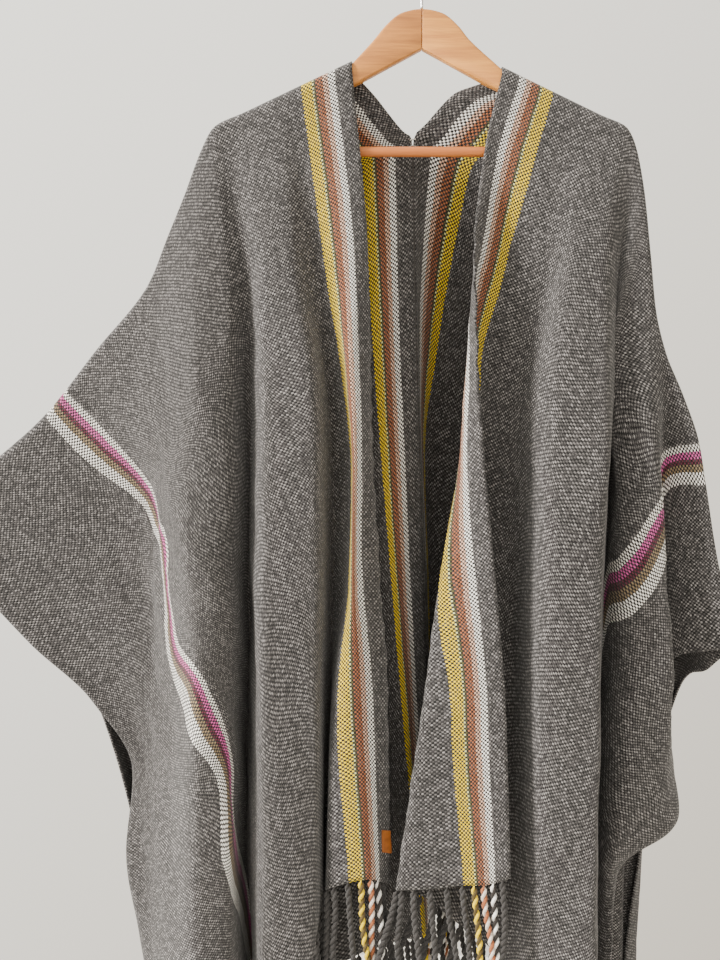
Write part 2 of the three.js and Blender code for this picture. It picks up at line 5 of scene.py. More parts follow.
import bpy
import numpy as np
from bpy.props import FloatProperty, FloatVectorProperty, IntProperty, PointerProperty
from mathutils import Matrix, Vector


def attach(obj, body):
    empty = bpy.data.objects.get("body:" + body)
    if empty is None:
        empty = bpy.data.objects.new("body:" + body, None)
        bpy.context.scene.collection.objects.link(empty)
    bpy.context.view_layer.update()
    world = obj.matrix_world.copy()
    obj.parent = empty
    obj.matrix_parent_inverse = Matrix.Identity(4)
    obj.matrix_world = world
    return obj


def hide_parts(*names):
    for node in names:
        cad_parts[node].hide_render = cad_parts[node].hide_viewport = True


bl_info = {
    "name": "Ruana on a hanger",
    "version": (1, 0, 0),
    "blender": (4, 5, 0),
    "location": "View3D > Sidebar > Ruana",
    "description": "Builds a striped, fringed woollen ruana as it hangs on a wooden hanger",
    "category": "Add Mesh",
}

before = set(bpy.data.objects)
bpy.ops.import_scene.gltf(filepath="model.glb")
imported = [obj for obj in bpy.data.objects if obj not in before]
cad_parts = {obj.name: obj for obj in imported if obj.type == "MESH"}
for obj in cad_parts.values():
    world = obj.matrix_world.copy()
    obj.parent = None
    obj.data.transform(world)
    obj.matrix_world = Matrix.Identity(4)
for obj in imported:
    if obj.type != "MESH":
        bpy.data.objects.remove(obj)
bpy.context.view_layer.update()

MM = 0.001

# The cut of the cloth, in millimetres. u runs across a panel from its opening edge, and v runs
# along it, 0 at the top of the shoulder, positive down the front and negative down the back.
WIDTH = 725.0  # a panel's width, across the warp
HALF = 868.0  # from the top line to either hem
WALL = 2.2  # the cloth's thickness
BEND = 8.0  # radius of the bend over the hanger and the shoulder
FREE = 170.0  # from this far down the cloth no longer follows the shape of the top line
LEAST_FALL = 0.06  # square of the least share of a step that still goes down where a fold runs aslant
SLIT = 115.0  # from this far down the two panels are sewn together behind
GAP = 0.3  # the space between neighbouring pieces

# The striped border beside the opening ends at BORDER, and the pink stripe lies between the other two.
BORDER = 60
PINK_FROM = 507
PINK_TO = 543

# The camera in millimetres: where it stands to the side, in front and in height, and how much of the
# hanger's plane the picture's 960 rows show, at 1.085 for each.
EYE_X = -67.0
EYE_BACK = 1350.0
EYE_Z = -572.0
SEEN = 960 * 1.085

# A fringe cord: how far its two plies lie from its middle, each ply's radius, and the length in which
# they go once around each other. Then the radius of the sewing thread.
CORD_RADIUS = 1.65
PLY_RADIUS = 1.95
CORD_LAY = 15.0
THREAD_RADIUS = 0.45

# The leather tab: how far it reaches onto the cloth, and where it lies along the opening edge.
TAB_DEPTH = 11.5
TAB_ENDS = (812.6, 835.4)

# The stage, in metres and watts: the floor's radius and height, and each lamp's name, place, size,
# power and aim.
FLOOR_RADIUS = 1.4
FLOOR_Z = -1.62
LAMPS = (
    ("window", (-3.0, -1.35, 0.9), 1.0, 340.0, (0, 0, -0.6)),
    ("fill", (1.2, -3.0, 0.2), 2.0, 8.0, (0, 0, -0.7)),
    ("behind", (0.4, 2.6, 0.6), 2.4, 40.0, (0, 0, -0.6)),
)

# Wrinkles of the hand-woven cloth: how long across, how high, and how much longer along the warp.
WRINKLES = ((150, 1.5, 3.2), (82, 0.9, 2.4), (45, 0.42, 1.7), (24, 0.2, 1.2), (13, 0.09, 1.0))

# The top line of each panel from the neck outwards: (u, x, z).
TOP = {
    "left": (
        (0, -75, -118.5),
        (130, -192.9, -174.8),
        (165, -224.6, -190),
        (189, -237, -212.5),
        (242, -256, -263),
        (290, -274, -307.5),
        (347, -295, -359.5),
        (438, -351.5, -431),
        (531, -409, -503.5),
        (596, -457.5, -547),
        (725, -548, -615.5),
    ),
    "right": (
        (0, 85.7, -124.5),
        (120, 194, -177.4),
        (151, 222, -191),
        (200, 236, -236),
        (300, 246, -325),
        (360, 251.5, -384),
        (410, 262.5, -432),
        (455, 281, -477.5),
        (507, 298.5, -529.5),
        (543, 305, -570),
        (640, 320, -664),
        (725, 343, -745.5),
    ),
}

# Where the middle of the narrow pink stripe runs, by the panel's own u, at distances v from the top
# line, and how wide it lies there. The cloth is pulled askew on the sleeves, so it isn't quite straight.
STRIPE = {
    ("left", "front"): (
        (0, 505, 1.0), (120, 495, 1.5), (200, 485, 1.5), (255, 445, 1.6), (310, 480, 0.9), (410, 525, 1.4),
        (470, 530, 1.8), (540, 525, 1.3), (630, 550, 1.4), (770, 520, 1.2), (868, 515, 1.1),
    ),
    ("right", "front"): ((0, 525, 1.2), (60, 505, 1.15), (110, 530, 1.1), (280, 530, 1.25), (868, 525, 1.1)),
    ("left", "back"): ((0, 505, 1.0), (150, 520, 1.0), (868, 525, 1.0)),
    ("right", "back"): ((0, 525, 1.0), (868, 525, 1.0)),
}

# Stations down the back, as distances from the top line. The longer lists add some near the neck,
# where the opening meets the seam, and one lower down.
FEW = (60, 115, 300, 580, 868)
MORE = (60, 100, 115, 135, 300, 580, 868)
MOST = (60, 100, 115, 135, 300, 400, 580, 868)

# The folds of each quarter: for each fold its u, x and y at the stations v, with u at the top line
# first. A value that is the same all the way down is written once, and a fold may be given at the
# fewer stations of an earlier list. slack says how long the cloth hangs at some u.
FOLDS = {
    "front_left": {
        "v": ((220, 440, 660, 868), (220, 330, 440, 550, 660, 868)),
        "rows": (
            ("opening edge", 0, (-58, -55.5, -53, -45.5, -36, -34), (-14, -20, -27, -34, -40, -45)),
            ("stripe crest", (30, 32, 34, 38, 40, 45, 50),
             (-81, -77, -74, -74.5, -75, -66), (-20, -40, -55, -62, -67, -64)),
            ("stripe's far edge", (56, 57, 57, 58, 60, 62, 84),
             (-101, -85, -75.5, -76, -89, -102), (-15, -27, -38, -47, -60, -58)),
            ("inner valley", (66, 72, 78, 88, 105, 125, 148),
             (-112, -100, -96, -97, -99, -108), (-12, -8, -6, 0, 6, 6)),
            ("middle ridge, near side", (92, 100, 122, 148, 180, 212, 240),
             (-138, -120, -115, -115, -115, -115), (-34, -50, -60, -66, -70, -70)),
            ("middle ridge, far side", (125, 130, 215, 300, 320),
             (-168, -169, -171, -174), (-34, -66, -78, -76)),
            ("outer valley", (150, 158, 320, 480, 525), (-187, -187, -191, -182), (-8, 6, 16, 16)),
            ("outer ridge, near side", (165, 185, 440, 570, 590),
             (-209, -208, -209, -208), (-32, -62, -76, -76)),
            ("outer ridge, top", (260, 290, 525, 615, 630), (-258, -243, -243, -240), (-48, -80, -84, -84)),
            ("outer ridge, far side", (400, 420, 600, 660, 668),
             (-281, -273, -275, -272), (-30, -20, -40, -45)),
            ("sleeve", (510, 525, 675, 695, 698), (-291, -298, -292, -286), (6, 6, -10, -15)),
            ("sleeve, low", (610, 620, 700, 710, 712), (-340, -306, -302, -286), (10, 8, -4, -6)),
            ("side edge", 725, (-425, -356, -314, -322, -309, -285), (0, 10, 0, 0)),
        ),
        "slack": ((0, 1.02), (57, 0.985), (165, 1), (260, 1), (525, 0.82), (725, 0.76)),
    },
    "front_right": {
        "v": ((90, 200, 320, 440, 540, 700, 868),),
        "rows": (
            ("opening edge", 0, (70, 59, 62, 70, 79, 92, 97), (-12, -26, -42, -50, -56, -64, -70)),
            ("lapel, middle", (4, 4, 5, 15, 26, 36, 57, 57),
             (71.5, 60, 57, 48, 43, 37, 50), (-11.5, -24, -34, -34, -42, -58, -68)),
            ("turned-back crest", (8, 8, 9, 30, 50, 60, 92, 124),
             (73, 61, 50, 37, 20, -1, -27), (-11, -22, -22, -14, -26, -50, -62)),
            ("behind the crest", (40, 42, 57, 60, 83, 95, 130, 160),
             (102, 88, 62, 62, 52, 35, 13), (-8, 4, -4, 2, -8, -32, -46)),
            ("shadow", (80, 85, 105, 112, 120, 140, 188, 235),
             (145, 132, 103, 96, 93, 90, 85), (-8, -2, 6, 10, 4, -8, -22)),
            ("great ridge, near side", (115, 120, 150, 176, 207, 222, 255, 300),
             (177, 156, 145, 141, 136, 133, 133), (-14, -30, -46, -60, -64, -66, -62)),
            ("great ridge, far side", (145, 150, 200, 226, 262, 282, 320, 365),
             (204, 199, 199, 194, 194, 189, 184), (-14, -34, -52, -66, -70, -72, -70)),
            ("narrow valley", (160, 172, 250, 300, 340, 350, 380, 420),
             (215, 207, 200, 192, 189, 186, 183), (-8, 2, -2, -4, -4, -4, -4)),
            ("hidden pleat", (190, 235, 370, 450, 500, 515, 535, 555),
             (213, 202, 188, 170, 156, 148, 146), (0, 20, 30, 30, 26, 18, 14)),
            ("sleeve ridge, near side", (215, 300, 495, 600, 690, 694, 698, 700),
             (211, 206, 198, 190, 178, 162, 157), (-10, 4, 8, 14, 36, 42, 42)),
            ("sleeve ridge, inner edge", (270, 435, 512, 614, 697, 700, 703, 705),
             (208, 214, 206, 194, 182, 166, 161), (-16, -16, -14, -4, 30, 42, 44)),
            ("sleeve ridge, top", (315, 468, 545, 650, 705, 707, 709, 710),
             (234, 240, 228, 203, 188, 172, 168), (-28, -34, -34, -22, 14, 36, 42)),
            ("sleeve ridge, far side", (360, 500, 592, 700, 714, 715, 716, 717),
             (258, 270, 264, 208, 196, 182, 178), (-32, -32, -22, -14, 0, 30, 36)),
            ("behind the sleeve ridge", (395, 530, 622, 714, 720, 721, 721, 722),
             (257, 266, 273, 211, 202, 190, 186), (18, 12, -10, -12, -6, 28, 34)),
            ("side edge", 725, (270, 268, 281, 213, 206, 196, 190), (22, 50, -4, -10, -8, 26, 30)),
        ),
        "slack": ((0, 1), (151, 1), (400, 0.92), (525, 0.82), (725, 0.74)),
    },
    "back_left": {
        "v": (FEW, MORE),
        "rows": (
            ("seam", 0, (-41, -18.4, -9.8, -9.6, -6.5, 2.7, 17.4), (17, 25, 28, 29, 34, 44, 56)),
            ("seam turn", 10, (-50, -27.5, -19, -18.6, -15, -4, 11), (17, 25, 28, 28.5, 32, 38, 48)),
            ("stripe", 57, (-93, -69.7, -61, -60, -50, -26, 2), (15, 21, 24, 22, 14, 10, 12)),
            ("first valley", (100, 105, 110, 130, 150, 160),
             (-130, -107, -94, -76, -56), (18, 30, 42, 44, 50)),
            ("first ridge", (165, 170, 178, 190, 205, 215),
             (-194, -172, -149, -132, -119), (14, 24, 60, 80, 88)),
            ("second valley", (210, 215, 230, 270, 300, 320),
             (-235, -217, -187, -174, -165), (12, 20, 30, 36, 38)),
            ("second ridge", (300, 305, 330, 380, 420, 440),
             (-270, -257, -225, -210, -202), (14, 38, 66, 84, 90)),
            ("third valley", (430, 435, 450, 500, 540, 560),
             (-333, -314, -254, -241, -230), (9, 14, 26, 36, 38)),
            ("third ridge", (560, 565, 580, 610, 630, 640),
             (-412, -384, -295, -262, -252), (11, 24, 50, 66, 70)),
            ("side edge", 725, (-512, -474, -362, -306, -278), (9, 14, 24, 34, 34)),
        ),
        "slack": ((0, 1.14), (165, 1.11), (525, 0.82), (725, 0.77)),
    },
    "back_right": {
        "v": (FEW, MORE, MOST),
        "rows": (
            ("seam", 0, (36, 2.7, -9.8, -9.6, -6.5, -3.5, 2.7, 17.4), (17, 25, 28, 29, 34, 44, 56)),
            ("seam turn", 10, (44.8, 11.4, -1, -2, -5, -2.3, 4, 19), (17, 27, 31, 34, 43, 52, 64)),
            ("white edge", 18, (53, 20.7, 8.5, 4.5, -3.5, -1.5, 5, 20.5), (18, 30, 35, 39, 51, 60, 72)),
            ("stripe", 57, (92, 61.4, 50, 45, 14, 0.5, 7, 24), (20, 36, 42, 50, 84, 98, 106)),
            ("first ridge", (100, 105, 110, 112, 115, 120),
             (122, 100, 91, 84, 50, 44, 50, 72), (22, 42, 98, 106, 110)),
            ("broad back", (140, 145, 165, 165, 170, 175),
             (152, 141, 137, 132, 94, 97, 122), (16, 34, 84, 86, 88)),
            ("first valley", (200, 205, 230, 250, 270, 280),
             (200, 182, 137, 133, 152), (12, 26, 64, 70, 72)),
            ("second ridge", (300, 310, 325, 350, 370, 380),
             (234, 222, 182, 171, 182), (16, 40, 96, 108, 112)),
            ("second valley", (430, 435, 445, 470, 490, 500),
             (264, 255, 213, 196, 198), (14, 26, 62, 70, 72)),
            ("third ridge", (560, 565, 575, 600, 610, 615),
             (300, 286, 228, 212, 208), (24, 60, 108, 116, 116)),
            ("side edge", 725, (312, 283, 248, 226, 232), (24, 64, 98, 92, 88)),
        ),
        "slack": ((0, 1.14), (151, 1.11), (400, 0.98), (525, 0.87), (725, 0.72)),
    },
}


def smooth(ts, fs):
    """A smooth line through given points that never overshoots them."""
    ts = np.asarray(ts, float)
    fs = np.asarray(fs, float)
    h = np.diff(ts)
    d = np.diff(fs) / h
    m = np.empty(len(ts))
    m[0], m[-1] = d[0], d[-1]
    for i in range(1, len(ts) - 1):
        if d[i - 1] * d[i] <= 0:
            m[i] = 0.0
        else:
            a, b = h[i - 1], h[i]
            m[i] = 3 * (a + b) / ((2 * b + a) / d[i - 1] + (b + 2 * a) / d[i])

    def at(t):
        t = np.asarray(t, float)
        i = np.clip(np.searchsorted(ts, t, side="left") - 1, 0, len(ts) - 2)
        s = np.clip((t - ts[i]) / h[i], 0, 1)
        r = 1 - s
        ends = r * r * (1 + 2 * s) * fs[i] + s * s * (3 - 2 * s) * fs[i + 1]
        return ends + s * r * h[i] * (r * m[i] - s * m[i + 1])

    return at


def filled(values, steps):
    """A fold's values at the last list of stations, filled in from the list that it was given at."""
    if isinstance(values, (int, float)):
        return (values,) * len(steps[-1])
    for given, wanted in zip(steps, steps[1:]):
        if len(values) == len(given):
            line = smooth(given, values)
            values = tuple(round(float(line(v)), 1) for v in wanted)
    return values


def quarter(table, top, front, us, ss):
    """The middle surface of one quarter of the ruana, on columns us and distances ss from the top."""
    top_u, top_x, top_z = (np.array(c, float) for c in zip(*top))
    x_top, z_top = smooth(top_u, top_x), smooth(top_u, top_z)
    slack = smooth(*zip(*table["slack"]))(us)
    bend = BEND * math.pi / 2
    with_top = [(0, *step) for step in table["v"]]
    stations = with_top[-1]
    below = (bend, *table["v"][-1])
    side = -1.0 if front else 1.0
    rows = []
    for _, u, x, y in table["rows"]:
        u, x, y = filled(u, with_top), filled(x, table["v"]), filled(y, table["v"])
        real = [EYE_X + (a - EYE_X) * (EYE_BACK + b) / EYE_BACK for a, b in zip(x, y)]
        rows.append(
            (
                smooth(stations, u)(ss),
                smooth(stations, [float(x_top(u[0])), *real])(ss),
                smooth(below, [0, *(a - float(x_top(b)) for a, b in zip(real, u[1:]))])(ss),
                smooth(below, [side * BEND, *y])(ss),
            )
        )
    rows = np.array(rows)
    at = np.zeros((len(ss), len(us), 3))
    for k, s in enumerate(ss):
        if s <= bend:
            at[k, :, 0] = x_top(us)
            at[k, :, 1] = side * BEND * math.sin(s / BEND)
            continue
        free = min(s / FREE, 1) ** 2
        u = rows[:, 0, k]
        near_top = x_top(us) + smooth(u, rows[:, 2, k])(us)
        at[k, :, 0] = (1 - free) * near_top + free * smooth(u, rows[:, 1, k])(us)
        at[k, :, 1] = smooth(u, rows[:, 3, k])(us)
    fall = np.zeros((len(ss), len(us)))
    for k in range(1, len(ss)):
        if ss[k] <= bend:
            fall[k] = BEND * (1 - math.cos(ss[k] / BEND))
            continue
        step = ss[k] - max(ss[k - 1], bend)
        below_bend = ss[k - 1] >= bend
        before = at[k - 1, :, :2] if below_bend else np.stack([x_top(us), 0 * us + side * BEND], 1)
        lean = ((at[k, :, :2] - before) ** 2).sum(1) / step**2
        start = fall[k - 1] if below_bend else BEND
        fall[k] = start + step * slack * np.sqrt(np.maximum(1 - lean, LEAST_FALL))
    at[:, :, 2] = z_top(us) - fall
    return at


def wrinkle(u, v, seed):
    """The small unevenness of a hand-woven cloth: a sum of waves that never line up."""
    out = np.zeros(np.broadcast(u, v).shape)
    rng = np.random.default_rng(seed)
    for size, much, stretch in WRINKLES:
        for _ in range(4):
            a = rng.uniform(-0.5, 0.5)
            k = 2 * math.pi / (size * rng.uniform(0.8, 1.25))
            p = rng.uniform(0, 2 * math.pi)
            across = u * math.cos(a) + v * math.sin(a) / stretch
            waver = 1.3 * np.sin(0.35 * k * v / stretch + 2 * p)
            out += much * 0.5 * np.sin(k * across + p + waver)
    return out


def hanging_folds(u, v):
    """Soft folds down the back, where the cut is wider than the way it hangs.

    They lie 84 mm apart, start 90 mm down and 120 mm from the seam, and grow to a depth of 12 mm.
    """
    deep = 12.0 * np.clip((-v - 90) / 380, 0, 1) * np.clip((u - 120) / 120, 0, 1)
    return deep * np.sin(2 * math.pi * u / 84 + 0.7 * np.sin(v / 190))


def panels(us, ss):
    """Both panels' middle surfaces as arrays [row, column, xyz], rows from the back hem to the front."""
    q = {
        (hand, end): quarter(FOLDS[f"{end}_{hand}"], TOP[hand], end == "front", us, ss)
        for hand in ("left", "right")
        for end in ("front", "back")
    }
    seam = {hand: q[hand, "back"][:, :1, :].copy() for hand in ("left", "right")}
    for hand, other, away in (("left", "right", -1), ("right", "left", 1)):
        diff = (seam[other] - seam[hand]) * 0.5
        rise = np.clip((ss - 60) / (SLIT - 60), 0, 1)[:, None]
        sewn = (ss >= SLIT - 1).astype(float)[:, None]
        # The backs meet at the seam, and the shift fades out away from it.
        b = q[hand, "back"]
        b[:, :, 2] += diff[:, :, 2] * rise * np.exp(-((us / 160) ** 2))[None, :]
        b[:, :, 0] += sewn * diff[:, :, 0] * np.exp(-((us / 60) ** 2))[None, :]
        b[:, :, 0] += sewn * away * (GAP / 2) * np.maximum(0, 40 - us)[None, :] / 40
        b[:, :, 1] += sewn * diff[:, :, 1] * np.exp(-((us / 60) ** 2))[None, :]
    return {hand: np.concatenate([q[hand, "back"][:0:-1], q[hand, "front"]]) for hand in ("left", "right")}


def yarn_place(hand, us, vs):
    """Which warp yarn lies at each point of a panel's grid, in millimetres from the opening edge."""
    out = np.empty((len(vs), len(us)))
    for k, v in enumerate(vs):
        table = STRIPE[hand, "front" if v >= 0 else "back"]
        s, middle, wide = (np.array(c, float) for c in zip(*table))
        m = float(smooth(s, middle)(abs(v)))
        w = float(smooth(s, wide)(abs(v)))
        half = (PINK_TO - PINK_FROM) / 2
        at = (0, BORDER, m - half * w, m + half * w, WIDTH)
        out[k] = np.interp(us, at, (0, BORDER, PINK_FROM, PINK_TO, WIDTH))
    return out


def unit(vectors):
    """Vectors of the same directions, each one long."""
    return vectors / np.maximum(np.linalg.norm(vectors, axis=-1, keepdims=True), 1e-9)


def normals(at, hand):
    """The outward direction at every point of a panel's grid."""
    a = np.gradient(at, axis=1)
    b = np.gradient(at, axis=0)
    return unit(np.cross(a, b) if hand == "left" else np.cross(b, a))


def soften(field, times):
    """Averages a grid with its neighbours a few times."""
    for _ in range(times):
        p = np.pad(field, ((1, 1), (1, 1), (0, 0)), mode="edge")
        field = (p[1:-1, 1:-1] * 4 + p[:-2, 1:-1] + p[2:, 1:-1] + p[1:-1, :-2] + p[1:-1, 2:]) / 8
    return field


def linear(hex_colour):
    """An sRGB hex colour as linear RGBA."""
    parts = [int(hex_colour[i : i + 2], 16) / 255 for i in (1, 3, 5)]
    return (*[c / 12.92 if c <= 0.04045 else ((c + 0.055) / 1.055) ** 2.4 for c in parts], 1.0)


def node(tree, kind, settings=None, links=None):
    """Adds a shader node, sets its values and sockets, and links its inputs."""
    made = tree.nodes.new(kind)
    for name, value in (settings or {}).items():
        if isinstance(name, int) or name in made.inputs:
            made.inputs[name].default_value = value
        else:
            setattr(made, name, value)
    for name, source in (links or {}).items():
        tree.links.new(source, made.inputs[name])
    return made


def material(name):
    """A new node material: (material, tree, shader)."""
    made = bpy.data.materials.new(name)
    made.use_nodes = True
    return made, made.node_tree, made.node_tree.nodes["Principled BSDF"]


def surface(tree, shader, colour, relief, strength, depth, values):
    """Gives the shader its colour, a relief so many metres deep, and its other values."""
    tree.links.new(colour, shader.inputs["Base Color"])
    bump = node(tree, "ShaderNodeBump", {"Strength": strength, "Distance": depth}, {"Height": relief})
    tree.links.new(bump.outputs[0], shader.inputs["Normal"])
    for name, value in values.items():
        shader.inputs[name].default_value = value


def toned(tree, colour, tone):
    """A colour made lighter or darker by a tone."""
    mix = node(tree, "ShaderNodeMixRGB", {"blend_type": "MULTIPLY", 0: 1.0}, {1: colour, 2: tone})
    return mix.outputs[0]


def noise(tree, scale, detail):
    """Noise that stays with the object."""
    where = node(tree, "ShaderNodeTexCoord")
    values = {"Scale": scale, "Detail": detail}
    return node(tree, "ShaderNodeTexNoise", values, {"Vector": where.outputs["Object"]}).outputs[0]


def tones(tree, value, low, high, least=0.3, most=0.7):
    """Stretches a noise value from least to most over the tones from low to high."""
    ends = {"To Min": low, "To Max": high, "From Min": least, "From Max": most}
    return node(tree, "ShaderNodeMapRange", ends, {"Value": value}).outputs[0]


def two_colours(tree, value, dark, light, places=(0.0, 1.0)):
    """A ramp from one colour to another, which lie at the two places."""
    ramp = node(tree, "ShaderNodeValToRGB", links={0: value})
    for stop, place, colour in zip(ramp.color_ramp.elements, places, (dark, light)):
        stop.position = place
        stop.color = linear(colour)
    return ramp.outputs[0]


WANDER = 0.0022  # how far yarns stray from their lines, in metres
FLECK = 0.0029  # length of the flecks along a yarn, in metres
GREY_WARP = "#6B6867"
# The warp across a panel: where each colour starts, in millimetres from the opening edge, the yarn's
# colour, and the yarn that it is plied with in the fringe.
WARP = (
    (0, GREY_WARP, GREY_WARP),
    (18, "#FDFAF4", "#35312F"),
    (28, "#DDB399", "#A5633A"),
    (32, "#A06240", "#EADCCF"),
    (40, "#834D2E", "#C9A22A"),
    (42, "#55502F", "#35312F"),
    (45, "#D0D292", "#57492A"),
    (48, "#ECCB1C", "#57492A"),
    (57, GREY_WARP, GREY_WARP),
    (507, "#FBF7F0", "#CE5A9C"),
    (513, "#CE5A9C", "#35312F"),
    (520, "#672F3E", "#CE5A9C"),
    (525, "#8F7C60", "#35312F"),
    (531, "#FDFAF4", "#35312F"),
    (543, GREY_WARP, GREY_WARP),
)


def cord_colours(u):
    """The two yarns of the fringe cord that hangs u millimetres from the opening edge."""
    return [row[1:] for row in WARP if row[0] <= u][-1]


def wool_cloth(settings):
    """Woollen tabby, hand-woven from heather yarn: matt, grainy, with a check of warp and weft dots."""
    made, tree, shader = material("hand-woven heather wool")
    pitch = settings.thread_spacing
    uv = node(tree, "ShaderNodeUVMap", {"uv_map": "cloth"})
    split = node(tree, "ShaderNodeSeparateXYZ", links={0: uv.outputs[0]})

    def maths(operation, a, b=None):
        made_node = node(tree, "ShaderNodeMath", {"operation": operation})
        for k, value in enumerate((a, b)):
            if value is None:
                continue
            if isinstance(value, (int, float)):
                made_node.inputs[k].default_value = value
            else:
                tree.links.new(value, made_node.inputs[k])
        return made_node.outputs[0]

    def yarns(place, stray):
        """Counts the yarns up to a place."""
        strayed = maths("MULTIPLY", maths("SUBTRACT", stray, 0.5), WANDER)
        return maths("DIVIDE", maths("ADD", place, strayed), pitch)

    def rounded(count):
        """A yarn's height across itself, 1 at its middle and 0 at its sides."""
        off = maths("ABSOLUTE", maths("SUBTRACT", maths("FRACT", count), 0.5))
        return maths("SUBTRACT", 1.0, maths("MULTIPLY", maths("MULTIPLY", off, off), 4.0))

    def flecks(x, y):
        """Short flecks of light and dark fibre along each yarn, which give the heather its grain."""
        cell = node(tree, "ShaderNodeCombineXYZ", links={0: x, 1: y}).outputs[0]
        fleck = node(tree, "ShaderNodeTexWhiteNoise", {"noise_dimensions": "2D"}, {"Vector": cell})
        return fleck.outputs[0]

    def warp_ramp(colour_of):
        """A colour for each stripe of the warp, by the yarn's own place on the cut."""
        share = maths("DIVIDE", maths("MULTIPLY", i, pitch), WIDTH * MM)
        made_ramp = node(tree, "ShaderNodeValToRGB", links={0: share})
        made_ramp.color_ramp.interpolation = "CONSTANT"
        stops = made_ramp.color_ramp.elements
        while len(stops) < len(WARP):
            stops.new(1.0)
        for stop, (start, colour, _) in zip(stops, WARP):
            stop.position = start / WIDTH
            stop.color = colour_of(colour)
        return made_ramp.outputs[0]

    u, v = split.outputs[0], split.outputs[1]
    drift = node(tree, "ShaderNodeTexNoise", {"Scale": 60.0, "Detail": 2.0}, {"Vector": uv.outputs[0]})
    wander = node(tree, "ShaderNodeSeparateXYZ", links={0: drift.outputs["Color"]})
    a = yarns(u, wander.outputs[0])
    b = yarns(v, wander.outputs[1])
    i, j = maths("FLOOR", a), maths("FLOOR", b)
    over = maths("MODULO", maths("ABSOLUTE", maths("ADD", i, j)), 2.0)
    height = maths("MULTIPLY", rounded(a), rounded(b))
    warp_fleck = flecks(i, maths("FLOOR", maths("DIVIDE", v, FLECK)))
    # The number keeps the weft's flecks from repeating the warp's.
    weft_fleck = flecks(maths("FLOOR", maths("DIVIDE", u, FLECK)), maths("ADD", j, 977.0))
    colours = warp_ramp(linear)
    heather = warp_ramp(lambda colour: (1, 1, 1, 1) if colour == GREY_WARP else (0, 0, 0, 1))
    # Dyed yarn is even, heather yarn is speckled.
    strong = maths("MULTIPLY", maths("POWER", warp_fleck, 1.8), 1.45)
    speckled = maths("MULTIPLY", heather, maths("ADD", 0.4, strong))
    even = maths("ADD", 0.78, maths("MULTIPLY", warp_fleck, 0.3))
    dyed = maths("MULTIPLY", maths("SUBTRACT", 1.0, heather), even)
    weft_tone = maths("ADD", 0.3, maths("MULTIPLY", maths("POWER", weft_fleck, 2.0), 2.1))
    grey = node(tree, "ShaderNodeRGB")
    grey.outputs[0].default_value = (*settings.heather_mid, 1.0)
    warp = toned(tree, colours, maths("ADD", speckled, dyed))
    weft = toned(tree, grey.outputs[0], weft_tone)
    yarn = node(tree, "ShaderNodeMixRGB", links={0: over, 1: weft, 2: warp})
    # Painted shade: the colour is darkened between the yarns, where the gaps between them would be shaded.
    depth = maths("ADD", 0.42, maths("MULTIPLY", maths("POWER", height, 0.7), 0.72))
    shade = toned(tree, yarn.outputs[0], depth)
    # Broad uneven patches, where the yarn was spun lighter or darker.
    patch = node(tree, "ShaderNodeTexNoise", {"Scale": 9.0, "Detail": 3.0}, {"Vector": uv.outputs[0]})
    tone = maths("ADD", 0.86, maths("MULTIPLY", patch.outputs[0], 0.28))
    matt = {"Roughness": 0.93, "Specular IOR Level": 0.2, "Sheen Weight": 0.12, "Sheen Roughness": 0.6}
    surface(tree, shader, toned(tree, shade, tone), height, 0.55, 0.0005, matt)
    return made


def wool_cord():
    """Twisted warp ends: the same wool, plied into soft matt cords."""
    made, tree, shader = material("plied wool cord")
    colour = node(tree, "ShaderNodeVertexColor", {"layer_name": "yarn"})
    fibre = noise(tree, 900.0, 3.0)
    mottled = toned(tree, colour.outputs[0], tones(tree, fibre, 0.62, 1.3))
    matt = {"Roughness": 0.95, "Specular IOR Level": 0.2, "Sheen Weight": 0.15}
    surface(tree, shader, mottled, fibre, 0.5, 0.0006, matt)
    return made


def wool_thread(name, dark, light):
    """Sewing thread of the same wool: thin and matt, mottled where its plies turn."""
    made, tree, shader = material(name)
    colour = two_colours(tree, noise(tree, 1500.0, 2.0), dark, light)
    tree.links.new(colour, shader.inputs["Base Color"])
    shader.inputs["Roughness"].default_value = 0.9
    return made


def varnished_wood(name, light, dark, lean):
    """Pale hardwood, sawn, sanded and satin varnished: fine straight grain that follows the piece."""
    made, tree, shader = material(name)
    where = node(tree, "ShaderNodeTexCoord")

    def grain_noise(scale, values):
        """Noise drawn out along the grain."""
        lie = {"Rotation": (0, lean, 0), "Scale": scale}
        laid = node(tree, "ShaderNodeMapping", lie, {"Vector": where.outputs["Object"]})
        return node(tree, "ShaderNodeTexNoise", values, {"Vector": laid.outputs[0]}).outputs[0]

    bands = {"Scale": 1.0, "Detail": 6.0, "Roughness": 0.62, "Distortion": 0.5}
    grain = grain_noise((7.0, 60.0, 95.0), bands)
    pores = grain_noise((40.0, 900.0, 900.0), {"Scale": 1.0, "Detail": 2.0})
    colour = two_colours(tree, grain, dark, light, (0.3, 0.68))
    satin = {"Roughness": 0.5, "Coat Weight": 0.08, "Coat Roughness": 0.25}
    surface(tree, shader, toned(tree, colour, tones(tree, pores, 0.88, 1.06)), pores, 0.08, 0.0003, satin)
    return made


def zinc_wire():
    """Bright zinc-plated steel wire: silvery, with soft lengthwise drawing marks."""
    made, tree, shader = material("zinc-plated wire")
    rough = tones(tree, noise(tree, 700.0, 2.0), 0.2, 0.36, 0.0, 1.0)
    tree.links.new(rough, shader.inputs["Roughness"])
    shader.inputs["Base Color"].default_value = linear("#C9CACB")
    shader.inputs["Metallic"].default_value = 1.0
    return made


